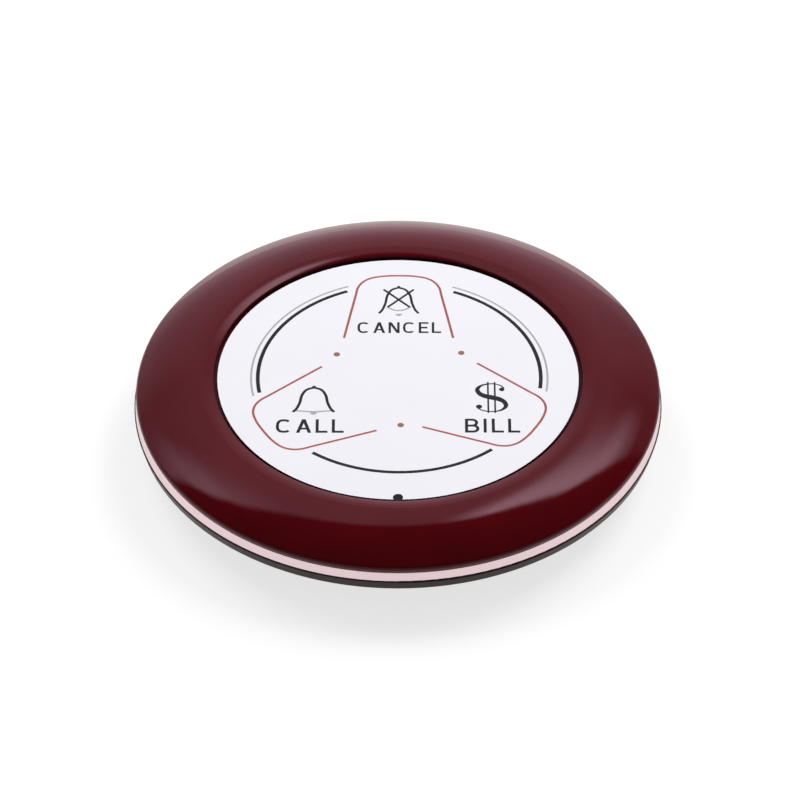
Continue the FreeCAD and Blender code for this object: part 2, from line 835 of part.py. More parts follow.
def antenna_coil():
    """Wire coil lying on the board, its two ends bent down to it."""
    length = antenna_pitch * antenna_turns
    axis_height = antenna_radius + antenna_wire + antenna_standoff
    spiral = Part.makeHelix(antenna_pitch, length, antenna_radius)
    section = Part.Wire(Part.makeCircle(antenna_wire, Vector(antenna_radius, 0, 0), Vector(0, 1, 0)))
    coil = Part.Wire(spiral).makePipeShell([section], True, True)
    coil.rotate(origin, Vector(0, 1, 0), 90)
    coil.translate(Vector(-length / 2, 0, axis_height))
    legs = [
        Part.makeCylinder(antenna_wire, axis_height - antenna_radius, Vector(end * length / 2, 0, 0))
        for end in (-1, 1)
    ]
    whole = fused([coil] + legs)
    whole.translate(Vector(0, 0, board_top_z))
    return on_board(whole, antenna_place)


# ---- Battery ----
def coin_cell():
    can = cylinder(cell_radius, cell_z, cell_top_z - cell_cap_height)
    cap = cylinder(cell_radius - cell_cap_inset, cell_z + past, cell_top_z)
    return fused([can, cap])


def battery_holder():
    """Ring under the board round the cell, open for the positive contact and for a fingernail."""
    low = board_z - holder_depth
    outer = holder_radius + past
    ring = tube(holder_inner_radius, holder_radius, low, board_z)
    contact_slot = sector(cell_radius, outer, low - past, board_z + past, holder_slot_angle, 180)
    nail_top = board_z - holder_depth / 2
    nail_slot = sector(cell_radius, outer, low - past, nail_top, holder_slot_angle, 0)
    return ring.cut([contact_slot, nail_slot])


def negative_contact():
    """Leaf under the board with a dimple that bears on the cell's cap."""
    leaf_z = board_z - contact_thick
    leaf = block(leaf_length, leaf_width, leaf_z, board_z)
    cross = turned(block(leaf_cross_length, leaf_width, leaf_z, board_z), 90)
    dimple_z = cell_top_z + contact_touch
    dimple = Part.makeCone(
        dimple_radius, dimple_foot_radius, leaf_z - dimple_z, Vector(0, 0, dimple_z)
    )
    return fused([leaf, cross, dimple])


def positive_contact():
    """Curved tab against the cell's side, with a foot on the board."""
    inner = cell_radius + contact_touch
    tab = sector(inner, inner + contact_thick, board_z - holder_depth, board_z, tab_angle, 180)
    foot = sector(
        inner,
        holder_radius + tab_foot_reach,
        board_z - contact_thick,
        board_z,
        tab_foot_angle,
        180,
    )
    return fused([tab, foot])


def battery_door():
    """Round door: flange, coin slot, barrel with a seal groove, and bayonet lugs."""
    flange = cylinder(door_radius, base_z, base_z + door_flange_thick)
    plate = cylinder(barrel_radius, base_z, base_z + door_plate_thick)
    barrel = tube(barrel_inner_radius, barrel_radius, base_z, lug_top_z)
    lugs = [
        sector(barrel_inner_radius + barrel_wall / 2, lug_radius, lug_z, lug_top_z, lug_angle, angle)
        for angle in angles(lug_count, 90.0)
    ]
    seal_z = bayonet_z + bayonet_ledge / 2
    groove_half = door_seal_radius + seal_groove_spare
    groove = tube(
        bayonet_radius - pilot_gap - 2 * door_seal_radius - seal_groove_spare,
        barrel_radius + past,
        seal_z - groove_half,
        seal_z + groove_half,
    )
    half_slot = (coin_slot_length - coin_slot_width) / 2
    slot_top_z = base_z + coin_slot_depth
    slot = [block(2 * half_slot, coin_slot_width, base_z - past, slot_top_z)]
    for end in (-1, 1):
        slot.append(cylinder(coin_slot_width / 2, base_z - past, slot_top_z, Vector(end * half_slot, 0, 0)))
    return fused([flange, plate, barrel] + lugs).cut([groove, fused(slot)])


def door_seal():
    centre_radius = bayonet_radius - pilot_gap - door_seal_radius
    return Part.makeTorus(centre_radius, door_seal_radius, Vector(0, 0, bayonet_z + bayonet_ledge / 2))


# ---- Screws ----
def pan_screw(length, seat_z):
    """A pan-head screw at the origin, head down: its seat is at seat_z and its shank points up."""
    head_z = seat_z - head_height
    profile = [
        (0, head_z),
        (head_radius * head_crown, head_z),
        (head_radius, seat_z - head_height * head_crown),
        (head_radius, seat_z),
        (screw_shank, seat_z),
        (screw_shank, seat_z + length - screw_tip),
        (screw_tip_radius, seat_z + length),
        (0, seat_z + length),
    ]
    bar = block(cross_length, cross_width, head_z - past, head_z + cross_depth)
    return revolved(outline(profile)).cut([bar, turned(bar, 90)])


def screw_group(screw, circle, directions):
    return Part.makeCompound([placed(screw, at(circle, angle), angle) for angle in directions])


def case_screws():
    screw = pan_screw(post_top_z - head_seat_z + screw_bite, head_seat_z)
    return screw_group(screw, screw_circle, angles(screw_count, screw_start))


def board_screws():
    screw = pan_screw(board_thick + board_screw_bite, board_z)
    return screw_group(screw, board_screw_circle, angles(board_screw_count))


# ---- All pieces, by node name ----
def all_pieces():
    pieces = {
        "top_cover": top_cover(),
        "trim_band": trim_band(),
        "base": base(),
        "case_seal": case_seal(),
        "foot_pads": foot_pads(),
        "face_overlay": face_overlay(),
        "overlay_adhesive": overlay_adhesive(),
        "light_guide": light_guide(),
        "circuit_board": circuit_board(),
        "controller_chip": controller_chip(),
        "crystal": crystal(),
        "transistor": transistor(),
        "status_led": status_led(),
        "chip_capacitors": chip_capacitors(),
        "chip_resistors": chip_resistors(),
        "antenna_coil": antenna_coil(),
        "coin_cell": coin_cell(),
        "battery_holder": battery_holder(),
        "negative_contact": negative_contact(),
        "positive_contact": positive_contact(),
        "battery_door": battery_door(),
        "door_seal": door_seal(),
        "case_screws": case_screws(),
        "board_screws": board_screws(),
    }
    cap = key_cap()
    body = switch_body()
    plunger = switch_plunger()
    for name, direction in key_directions.items():
        place = at(switch_place, direction)
        pieces[name + "_key"] = turned(cap, direction - 90)
        pieces[name + "_switch_body"] = placed(body, place, direction)
        pieces[name + "_switch_plunger"] = placed(plunger, place)
    return pieces


os.makedirs("parts", exist_ok=True)
for name, shape in all_pieces().items():
    shape.exportStep(os.path.join("parts", name + ".step"))
    print(name, len(shape.Solids), "solid(s)", round(shape.Volume, 2), "mm3", shape.isValid())
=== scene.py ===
"""Looks for the slim round three-key table call button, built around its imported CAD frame."""

import json
import math

import bpy
import numpy as np
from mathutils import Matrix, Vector
from mathutils.geometry import delaunay_2d_cdt


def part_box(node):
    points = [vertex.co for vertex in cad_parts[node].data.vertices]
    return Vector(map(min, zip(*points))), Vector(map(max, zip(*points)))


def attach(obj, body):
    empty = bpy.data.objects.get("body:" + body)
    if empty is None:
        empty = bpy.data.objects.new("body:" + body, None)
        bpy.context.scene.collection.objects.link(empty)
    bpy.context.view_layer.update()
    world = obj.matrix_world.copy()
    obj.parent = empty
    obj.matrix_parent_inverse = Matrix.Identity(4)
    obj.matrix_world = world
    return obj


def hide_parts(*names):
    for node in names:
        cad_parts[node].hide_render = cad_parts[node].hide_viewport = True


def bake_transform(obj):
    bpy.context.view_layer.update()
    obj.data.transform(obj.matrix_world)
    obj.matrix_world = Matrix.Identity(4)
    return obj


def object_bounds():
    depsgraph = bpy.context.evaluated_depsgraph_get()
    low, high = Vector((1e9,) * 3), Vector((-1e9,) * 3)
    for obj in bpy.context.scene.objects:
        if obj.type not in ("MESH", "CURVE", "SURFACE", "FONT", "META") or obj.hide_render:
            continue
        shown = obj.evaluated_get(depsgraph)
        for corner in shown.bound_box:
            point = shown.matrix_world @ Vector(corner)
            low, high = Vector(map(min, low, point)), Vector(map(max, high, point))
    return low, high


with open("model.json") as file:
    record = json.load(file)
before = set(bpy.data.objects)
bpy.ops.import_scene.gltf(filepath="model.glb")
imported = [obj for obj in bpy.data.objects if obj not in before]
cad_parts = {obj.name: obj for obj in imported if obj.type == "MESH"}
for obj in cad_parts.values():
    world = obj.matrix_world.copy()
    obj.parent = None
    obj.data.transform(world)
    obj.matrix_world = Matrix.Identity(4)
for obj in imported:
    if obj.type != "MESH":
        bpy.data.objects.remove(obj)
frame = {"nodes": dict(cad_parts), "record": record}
cad_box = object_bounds()

MM = 0.001
WHITE = (1.0, 1.0, 1.0, 1.0)

# Sizes of the solids, in millimetres.
label_low, label_high = (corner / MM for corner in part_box("face_overlay"))
LABEL_RADIUS = label_high.x
LABEL_TOP = label_high.z
LABEL_BOTTOM = label_low.z
COVER_TOP = cad_box[1][2] / MM

# ---------------------------------------------------------------- camera

CAMERA_TARGET = Vector((0.0, 0.0, 8.0)) * MM
CAMERA_DISTANCE = 800.0 * MM
CAMERA_ELEVATION = math.radians(41.65)
SENSOR_WIDTH = 36.0
IMAGE_SIDE = 800.0
FOCAL_PIXELS = 4672.0
TARGET_PIXEL = (398.0, 393.45)
CLIP_START = 0.01
CLIP_END = 20.0

camera_data = bpy.data.cameras.new("camera")
camera_data.sensor_width = SENSOR_WIDTH
camera_data.lens = FOCAL_PIXELS / IMAGE_SIDE * SENSOR_WIDTH
camera_data.shift_x = (IMAGE_SIDE / 2 - TARGET_PIXEL[0]) / IMAGE_SIDE
camera_data.shift_y = (TARGET_PIXEL[1] - IMAGE_SIDE / 2) / IMAGE_SIDE
camera_data.clip_start = CLIP_START
camera_data.clip_end = CLIP_END
camera = bpy.data.objects.new("camera", camera_data)
bpy.context.scene.collection.objects.link(camera)
toward_camera = Vector((0.0, -math.cos(CAMERA_ELEVATION), math.sin(CAMERA_ELEVATION)))
camera.location = CAMERA_TARGET + toward_camera * CAMERA_DISTANCE
camera.rotation_euler = toward_camera.to_track_quat("Z", "Y").to_euler()
bpy.context.scene.camera = camera
bpy.context.scene.view_settings.view_transform = "Standard"


# ---------------------------------------------------------------- node helpers

def put(tree, socket, value):
    """Links value to socket if it is another socket, and otherwise sets it."""
    if isinstance(value, bpy.types.NodeSocket):
        tree.links.new(value, socket)
    else:
        socket.default_value = value


def math_node(tree, operation, *values, clamp=False):
    """The output of one Math node."""
    node = tree.nodes.new("ShaderNodeMath")
    node.operation = operation
    node.use_clamp = clamp
    for socket, value in zip(node.inputs, values):
        put(tree, socket, value)
    return node.outputs[0]


def largest(tree, *values):
    """The largest of several values."""
    result = values[0]
    for value in values[1:]:
        result = math_node(tree, "MAXIMUM", result, value)
    return result


def ramp(tree, value, stops):
    """A colour ramp through stops of (position, grey or colour)."""
    node = tree.nodes.new("ShaderNodeValToRGB")
    elements = node.color_ramp.elements
    while len(elements) < len(stops):
        elements.new(0.5)
    for element, (position, shade) in zip(elements, stops):
        element.position = position
        element.color = (shade, shade, shade, 1.0) if isinstance(shade, float) else (*shade, 1.0)
    put(tree, node.inputs[0], value)
    return node.outputs[0]


def step_up(tree, value, low, high):
    """0 below low, 1 above high, smooth between."""
    node = tree.nodes.new("ShaderNodeMapRange")
    node.interpolation_type = "SMOOTHSTEP"
    put(tree, node.inputs["Value"], value)
    node.inputs["From Min"].default_value = low
    node.inputs["From Max"].default_value = high
    return node.outputs["Result"]


def mixed_colour(tree, factor, first, second):
    """One colour where the factor is 0 and the other where it is 1."""
    node = tree.nodes.new("ShaderNodeMix")
    node.data_type = "RGBA"
    for name, value in (("Factor", factor), ("A", first), ("B", second)):
        put(tree, node.inputs[name], value)
    return node.outputs["Result"]


def mixed_shader(tree, factor, first, second):
    """One shader where the factor is 0 and the other where it is 1."""
    node = tree.nodes.new("ShaderNodeMixShader")
    for socket, value in zip(node.inputs, (factor, first, second)):
        put(tree, socket, value)
    return node.outputs[0]


def emitter(tree, kind, strength, colour=WHITE):
    """The output of an Emission or Background node."""
    node = tree.nodes.new(kind)
    node.inputs["Color"].default_value = colour
    put(tree, node.inputs["Strength"], strength)
    return node.outputs[0]


# ---------------------------------------------------------------- studio

# The sky is even for light on matt surfaces, white to the camera and a lit tent to the gloss.
DIFFUSE_SKY = 0.22
SEEN_WHITE = 1.0
REFLECTED_TINT = (1.03, 0.97, 1.12, 1.0)
OVERHEAD_LEVEL = 0.02
LOWEST_DIRECTION = 0.02

# The tent behind the object, as the gloss shows it. Directions are laid out flat: side runs from 0 at the
# left to 1 at the right, back from 0 straight up to 1 at the horizon behind. Stops are (position, level).
SIDE_SCALE = 0.9
TENT_BY_BACK = [
    (0.0, 0.36), (0.38, 0.36), (0.45, 0.30), (0.52, 0.44), (0.62, 0.53),
    (0.72, 0.62), (0.82, 0.82), (0.92, 0.94), (1.0, 1.02),
]
TENT_BY_SIDE = [
    (0.0, 0.85), (0.05, 0.72), (0.20, 0.64), (0.32, 0.75), (0.41, 0.92), (0.5, 1.0),
    (0.59, 0.90), (0.68, 0.70), (0.77, 0.50), (0.86, 0.38), (0.95, 0.42), (1.0, 0.75),
]
# Where the tent's upper edge lies, as a value of back, and how softly it ends.
TENT_EDGE_BY_SIDE = [
    (0.05, 0.225), (0.14, 0.198), (0.23, 0.150), (0.32, 0.152), (0.41, 0.197), (0.50, 0.225),
    (0.59, 0.234), (0.68, 0.210), (0.77, 0.250), (0.86, 0.285), (0.95, 0.31),
]
TENT_EDGE_SOFT = (-0.020, 0.024)

# The two brighter panels along that edge.
PANEL_LEVEL = 1.9
PANEL_FADE = (0.03, 0.20)
PANELS_BY_SIDE = [
    (0.05, 0.0), (0.10, 0.06), (0.14, 0.24), (0.20, 0.46), (0.26, 0.50), (0.32, 0.28), (0.42, 0.05),
    (0.53, 0.0), (0.565, 1.0), (0.69, 1.03), (0.755, 0.80), (0.80, 0.34), (0.86, 0.0),
]

# Low light all round the front, which the bright band shows. It is stronger at the sides and ends behind.
FRONT_GLOW = 0.82
SIDE_GLOW = 1.38
FRONT_TO_SIDE = (-0.6, 0.0)
GLOW_ENDS = (0.05, 0.45)
GLOW_BY_HEIGHT = [(0.0, 1.0), (0.17, 0.95), (0.25, 0.62), (0.34, 0.30), (0.44, 0.04), (0.50, 0.0)]

LAMP_SIDE = 0.9

world = bpy.data.worlds.new("studio")
world.use_nodes = True
bpy.context.scene.world = world
sky = world.node_tree
sky.nodes.clear()
direction = sky.nodes.new("ShaderNodeSeparateXYZ")
sky.links.new(sky.nodes.new("ShaderNodeTexCoord").outputs["Generated"], direction.inputs[0])
height = math_node(sky, "MAXIMUM", direction.outputs["Z"], LOWEST_DIRECTION)
flattened = math_node(sky, "ADD", height, 1.0)
across = math_node(sky, "DIVIDE", direction.outputs["X"], flattened)
side = math_node(sky, "MULTIPLY_ADD", across, SIDE_SCALE, 0.5, clamp=True)
back = math_node(sky, "DIVIDE", direction.outputs["Y"], flattened, clamp=True)
past_edge = math_node(sky, "SUBTRACT", back, ramp(sky, side, TENT_EDGE_BY_SIDE))
tent = math_node(sky, "MULTIPLY", ramp(sky, back, TENT_BY_BACK), ramp(sky, side, TENT_BY_SIDE))
near_edge = math_node(sky, "SUBTRACT", 1.0, step_up(sky, past_edge, *PANEL_FADE))
panel = math_node(sky, "MULTIPLY", ramp(sky, side, PANELS_BY_SIDE), near_edge)
whole_tent = math_node(sky, "MULTIPLY_ADD", panel, PANEL_LEVEL, tent)
lit_tent = math_node(sky, "MULTIPLY", whole_tent, step_up(sky, past_edge, *TENT_EDGE_SOFT))
sideways = step_up(sky, direction.outputs["Y"], *FRONT_TO_SIDE)
facing = math_node(sky, "MULTIPLY_ADD", sideways, SIDE_GLOW - FRONT_GLOW, FRONT_GLOW)
low_glow = math_node(sky, "MULTIPLY", ramp(sky, height, GLOW_BY_HEIGHT), facing)
in_front = math_node(sky, "SUBTRACT", 1.0, step_up(sky, direction.outputs["Y"], *GLOW_ENDS))
glow = math_node(sky, "MULTIPLY", low_glow, in_front)
reflected_level = math_node(sky, "ADD", largest(sky, lit_tent, glow), OVERHEAD_LEVEL)

path = sky.nodes.new("ShaderNodeLightPath")
reflected = largest(sky, path.outputs["Is Glossy Ray"], path.outputs["Is Transmission Ray"])
plain_sky = emitter(sky, "ShaderNodeBackground", DIFFUSE_SKY)
mirrored_sky = emitter(sky, "ShaderNodeBackground", reflected_level, REFLECTED_TINT)
seen_sky = emitter(sky, "ShaderNodeBackground", SEEN_WHITE)
unseen_sky = mixed_shader(sky, reflected, plain_sky, mirrored_sky)
sky.links.new(
    mixed_shader(sky, path.outputs["Is Camera Ray"], unseen_sky, seen_sky),
    sky.nodes.new("ShaderNodeOutputWorld").inputs["Surface"],
)


def area_lamp(name, place, power):
    """A soft lamp aimed at the object. Reflections show the tent instead of it."""
    data = bpy.data.lights.new(name, "AREA")
    data.shape = "RECTANGLE"
    data.size = LAMP_SIDE
    data.size_y = LAMP_SIDE
    data.energy = power
    lamp = bpy.data.objects.new(name, data)
    bpy.context.scene.collection.objects.link(lamp)
    lamp.location = place
    lamp.rotation_euler = Vector(place).to_track_quat("Z", "Y").to_euler()
    lamp.visible_camera = False
    lamp.visible_glossy = False


area_lamp("back_right", place=(0.75, 1.0, 1.0), power=21.3)
area_lamp("back_left", place=(-0.75, 1.0, 1.0), power=15.0)

# ---------------------------------------------------------------- floor

# The floor is matt and darkish, for a soft shadow. The camera and the gloss see it lifted to white.
FLOOR_HALF = 4.0
FLOOR_SHADE = 0.32
FLOOR_SEEN_LIFT = 0.73

floor_corners = [(x * FLOOR_HALF, y * FLOOR_HALF, 0.0) for x, y in ((-1, -1), (1, -1), (1, 1), (-1, 1))]
floor_mesh = bpy.data.meshes.new("floor")
floor_mesh.from_pydata(floor_corners, [], [(0, 1, 2, 3)])
floor = bpy.data.objects.new("floor", floor_mesh)
bpy.context.scene.collection.objects.link(floor)
floor_material = bpy.data.materials.new("floor")
floor_material.use_nodes = True
ground = floor_material.node_tree
ground.nodes.clear()
matt = ground.nodes.new("ShaderNodeBsdfDiffuse")
matt.inputs["Color"].default_value = (FLOOR_SHADE, FLOOR_SHADE, FLOOR_SHADE, 1.0)
both = ground.nodes.new("ShaderNodeAddShader")
ground.links.new(matt.outputs[0], both.inputs[0])
ground.links.new(emitter(ground, "ShaderNodeEmission", FLOOR_SEEN_LIFT), both.inputs[1])
rays = ground.nodes.new("ShaderNodeLightPath")
seen = largest(ground, *[rays.outputs[f"Is {kind} Ray"] for kind in ("Camera", "Glossy", "Transmission")])
ground.links.new(
    mixed_shader(ground, seen, matt.outputs[0], both.outputs[0]),
    ground.nodes.new("ShaderNodeOutputMaterial").inputs["Surface"],
)
floor_mesh.materials.append(floor_material)


# ---------------------------------------------------------------- materials

class Surface:
    """A Principled material whose colour, roughness and relief come from procedural nodes."""

    def __init__(self, name, **fixed):
        self.material = bpy.data.materials.new(name)
        self.material.use_nodes = True
        self.tree = self.material.node_tree
        self.tree.nodes.clear()
        self.shader = self.tree.nodes.new("ShaderNodeBsdfPrincipled")
        output = self.tree.nodes.new("ShaderNodeOutputMaterial")
        self.tree.links.new(self.shader.outputs[0], output.inputs["Surface"])
        self.place = self.tree.nodes.new("ShaderNodeTexCoord").outputs["Object"]
        for socket, value in fixed.items():
            self.shader.inputs[socket.replace("_", " ")].default_value = value

    def noise(self, size, detail=2.0, place=None):
        """Noise with features about size millimetres across."""
        node = self.tree.nodes.new("ShaderNodeTexNoise")
        self.tree.links.new(place or self.place, node.inputs["Vector"])
        node.inputs["Scale"].default_value = 1.0 / (size * MM)
        node.inputs["Detail"].default_value = detail
        return node.outputs["Fac"]

    def cells(self, size, feature="F1", randomness=1.0):
        """Cells about size millimetres across."""
        node = self.tree.nodes.new("ShaderNodeTexVoronoi")
        node.feature = feature
        self.tree.links.new(self.place, node.inputs["Vector"])
        node.inputs["Scale"].default_value = 1.0 / (size * MM)
        node.inputs["Randomness"].default_value = randomness
        return node.outputs["Distance"]

    def stretched(self, scale):
        """The place scaled by (x, y, z), which stretches what reads it."""
        node = self.tree.nodes.new("ShaderNodeMapping")
        self.tree.links.new(self.place, node.inputs["Vector"])
        node.inputs["Scale"].default_value = scale
        return node.outputs[0]

    def round_place(self, around=1.0):
        """Place as (angle times around, radius, height) about the object's own axis."""
        parts = self.tree.nodes.new("ShaderNodeSeparateXYZ")
        self.tree.links.new(self.place, parts.inputs[0])
        x, y, z = parts.outputs
        angle = math_node(self.tree, "MULTIPLY", math_node(self.tree, "ARCTAN2", y, x), around)
        squares = [math_node(self.tree, "MULTIPLY", value, value) for value in (x, y)]
        radius = math_node(self.tree, "SQRT", math_node(self.tree, "ADD", *squares))
        joined = self.tree.nodes.new("ShaderNodeCombineXYZ")
        for socket, value in zip(joined.inputs, (angle, radius, z)):
            put(self.tree, socket, value)
        return joined.outputs[0]

    def colour(self, value, stops):
        """Base colour from a ramp over value."""
        self.tree.links.new(ramp(self.tree, value, stops), self.shader.inputs["Base Color"])
        return self

    def rough(self, value, low, high):
        """Roughness from low to high over value."""
        self.tree.links.new(ramp(self.tree, value, noise_stops(low, high)), self.shader.inputs["Roughness"])
        return self

    def relief(self, *layers):
        """Bump from layers of (value, depth in millimetres)."""
        normal = None
        for value, depth in layers:
            node = self.tree.nodes.new("ShaderNodeBump")
            node.inputs["Distance"].default_value = depth * MM
            self.tree.links.new(value, node.inputs["Height"])
            if normal:
                self.tree.links.new(normal, node.inputs["Normal"])
            normal = node.outputs[0]
        self.tree.links.new(normal, self.shader.inputs["Normal"])
        return self


def srgb(*channels):
    """Linear colour from 0 to 255 display values."""
    return tuple(c / 255 / 12.92 if c <= 10 else ((c / 255 + 0.055) / 1.055) ** 2.4 for c in channels)


def noise_stops(first, last, low=0.3, high=0.7):
    """Ramp stops over the range in which most of a noise's values lie."""
    return [(low, first), (high, last)]


def shades(colour, spread, low=0.3, high=0.7):
    """Ramp stops from a little darker than colour to a little lighter."""
    darker, lighter = (tuple(c * share for c in colour) for share in (1 - spread, 1 + spread))
    return noise_stops(darker, lighter, low, high)


# Base colours, as linear values.
MAROON = (0.085, 0.0016, 0.0042)
# Painted shade: the recess round the label is coloured darker than the dome, for the shade in the groove.
RECESS_SHADE_MAROON = (0.056, 0.0016, 0.0036)
TRIM_METAL = (0.785, 0.615, 0.635)
BASE_DARK = (0.056, 0.028, 0.032)
SEAL_BLACK = (0.012, 0.012, 0.013)
FOOT_BLACK = (0.035, 0.035, 0.038)
FILM_WHITE = srgb(243, 242, 248)
# Painted shade: the label film's edge is coloured dark for the shade of the groove round it.
FILM_EDGE_SHADE = (0.055, 0.028, 0.034)
INK_AMBER = (0.33, 0.150, 0.102)
INK_RED = (0.40, 0.100, 0.085)
INK_GREY = (0.42, 0.42, 0.44)
INK_BLACK = (0.012, 0.011, 0.013)
ADHESIVE_YELLOW = (0.74, 0.70, 0.60)
GUIDE_DARK = (0.02, 0.017, 0.02)
MASK_GREEN = (0.012, 0.115, 0.045)
MASK_OVER_TRACKS = (0.035, 0.21, 0.085, 1.0)
CHIP_BLACK = (0.018, 0.018, 0.02)
PLATED_GREY = (0.66, 0.65, 0.62)
RESIN_YELLOW = (0.82, 0.74, 0.42)
CERAMIC_BROWN = (0.42, 0.27, 0.15)
COPPER = (0.70, 0.28, 0.12)
HOLDER_BLACK = (0.025, 0.025, 0.028)
KEY_GREY = (0.42, 0.42, 0.41)
STEEL = (0.56, 0.58, 0.62)

# The polished part of the cover, in millimetres: outside this radius and above this height.
DOME_INNER = LABEL_RADIUS + 0.82
DOME_BOTTOM = COVER_TOP - 3.15
DOME_POLISH = (0.05, 0.09)
DOME_TINT = (1.0, 0.667, 0.70, 1.0)
# The duller parts are rougher, and their specular tint is dimmed as painted shade in their reflections.
DULL_SHADE_TINT = (0.34, 0.20, 0.21, 1.0)
DULL_ROUGHNESS = 0.3


def cover_surface():
    """A polished dome. The recess that the label lies in and the strip under the dome are left duller, with
    painted shade: the recess is coloured darker, and both reflect through a dimmed tint.
    """
    s = Surface("cover_gloss", IOR=1.5, Specular_IOR_Level=0.75)
    outward = s.tree.nodes.new("ShaderNodeSeparateXYZ")
    s.tree.links.new(s.round_place(), outward.inputs[0])
    _, radius, rise = outward.outputs
    past_recess = math_node(s.tree, "GREATER_THAN", radius, DOME_INNER * MM)
    above_strip = math_node(s.tree, "GREATER_THAN", rise, DOME_BOTTOM * MM)
    polished = math_node(s.tree, "MULTIPLY", past_recess, above_strip)
    # Painted shade: the recess's darker colour.
    recess = ramp(s.tree, s.noise(1.5, 3.0), shades(RECESS_SHADE_MAROON, 0.10))
    dome = ramp(s.tree, s.noise(9.0, 3.0), shades(MAROON, 0.08))
    polish = ramp(s.tree, s.noise(2.5, 4.0), noise_stops(*DOME_POLISH))
    dull = math_node(s.tree, "MULTIPLY_ADD", polished, -DULL_ROUGHNESS, DULL_ROUGHNESS)
    put(s.tree, s.shader.inputs["Base Color"], mixed_colour(s.tree, past_recess, recess, dome))
    # Painted shade: the recess and the strip under the dome reflect less through the dimmed tint.
    put(s.tree, s.shader.inputs["Specular Tint"], mixed_colour(s.tree, polished, DULL_SHADE_TINT, DOME_TINT))
    put(s.tree, s.shader.inputs["Roughness"], math_node(s.tree, "ADD", polish, dull))
    return s.relief((s.noise(3.0, 1.0), 0.0012), (s.noise(0.35, 2.0), 0.0001))


def trim_surface():
    """Satin metal, brushed round the case."""
    s = Surface("trim_satin", Metallic=1.0)
    grain = s.noise(0.12, 2.0, place=s.round_place(around=0.0016))
    s.colour(grain, shades(TRIM_METAL, 0.06))
    s.rough(grain, 0.22, 0.34)
    return s.relief((grain, 0.0008))


def base_surface():
    """Dark moulded plastic."""
    s = Surface("base_moulded", Specular_IOR_Level=0.25)
    s.colour(s.noise(1.2, 4.0), shades(BASE_DARK, 0.12))
    s.rough(s.noise(0.6, 3.0), 0.34, 0.46)
    return s.relief((s.noise(0.18, 3.0), 0.004))


def rubber_surface(name, colour, grain):
    """Dull rubber with a pebbled grain."""
    s = Surface(name)
    s.colour(s.noise(grain * 6, 4.0), shades(colour, 0.15))
    s.rough(s.noise(grain * 2, 2.0), 0.62, 0.8)
    return s.relief((s.cells(grain), 0.012))


def plastic_surface(name, colour, low, high, grain=0.25, depth=0.003):
    """Moulded plastic with a fine grain and roughness from low to high."""
    s = Surface(name)
    s.colour(s.noise(grain * 10, 3.0), shades(colour, 0.07))
    s.rough(s.noise(grain * 3, 3.0), low, high)
    return s.relief((s.noise(grain, 2.0), depth))


def metal_surface(name, colour, low, high, stretch):
    """Plated metal with fine scratches, drawn out by stretch."""
    s = Surface(name, Metallic=1.0)
    scratches = s.noise(0.5, 4.0, place=s.stretched(stretch))
    s.colour(s.noise(1.5, 3.0), shades(colour, 0.07))
    s.rough(scratches, low, high)
    return s.relief((scratches, 0.0015))


def film_surface():
    """The white film of the label, with a fine matt grain."""
    s = Surface("label_film")
    s.colour(s.noise(14.0, 2.0), shades(FILM_WHITE, 0.008))
    s.rough(s.noise(0.8, 3.0), 0.34, 0.42)
    return s.relief((s.cells(0.16), 0.0015))


def film_edge_shade_surface():
    """The clear edge of the film, coloured dark as painted shade of the groove round it."""
    s = Surface("label_film_edge_shade", IOR=1.55)
    s.colour(s.noise(1.5, 3.0), shades(FILM_EDGE_SHADE, 0.15))
    return s.rough(s.noise(0.3, 3.0), 0.18, 0.3).relief((s.noise(0.2, 2.0), 0.004))


def ink_surface(name, colour):
    """Screen-printed ink with the film's own grain."""
    s = Surface(name)
    s.colour(s.noise(0.35, 3.0), shades(colour, 0.10))
    s.rough(s.noise(0.5, 2.0), 0.34, 0.46)
    return s.relief((s.cells(0.16), 0.0015))


def adhesive_surface():
    """Milky adhesive film."""
    s = Surface("adhesive", Transmission_Weight=0.35, IOR=1.47)
    s.colour(s.noise(1.0, 3.0), shades(ADHESIVE_YELLOW, 0.06))
    return s.rough(s.noise(0.7, 3.0), 0.35, 0.55).relief((s.noise(0.5, 2.0), 0.004))


def guide_surface():
    """Smoked clear plastic, dark while the light under it is off."""
    s = Surface("light_guide", Transmission_Weight=0.35, IOR=1.49)
    s.colour(s.noise(0.6, 3.0), shades(GUIDE_DARK, 0.2))
    return s.rough(s.noise(0.3, 2.0), 0.08, 0.16).relief((s.noise(0.4, 1.0), 0.001))


def board_surface():
    """Green solder mask over etched lines, with the glass weave just showing."""
    s = Surface("board")
    tracks = ramp(s.tree, s.cells(1.9, "DISTANCE_TO_EDGE", 0.55), [(0.05, 1.0), (0.075, 0.0)])
    weave = s.noise(0.45, 1.0, place=s.stretched((1.0, 6.0, 1.0)))
    mask = ramp(s.tree, weave, shades(MASK_GREEN, 0.12))
    put(s.tree, s.shader.inputs["Base Color"], mixed_colour(s.tree, tracks, mask, MASK_OVER_TRACKS))
    return s.rough(weave, 0.24, 0.34).relief((tracks, 0.02), (weave, 0.002))


def resin_surface():
    """Yellow resin over the status light."""
    s = Surface("led_resin", Transmission_Weight=0.25, IOR=1.52)
    s.colour(s.noise(0.5, 2.0), shades(RESIN_YELLOW, 0.08))
    return s.rough(s.noise(0.4, 2.0), 0.12, 0.2).relief((s.noise(0.3, 1.0), 0.002))


def ceramic_surface():
    """Speckled ceramic of the chip parts."""
    s = Surface("ceramic")
    s.colour(s.cells(0.12), shades(CERAMIC_BROWN, 0.18, 0.1, 0.9))
    return s.rough(s.noise(0.2, 3.0), 0.3, 0.45).relief((s.noise(0.08, 2.0), 0.004))


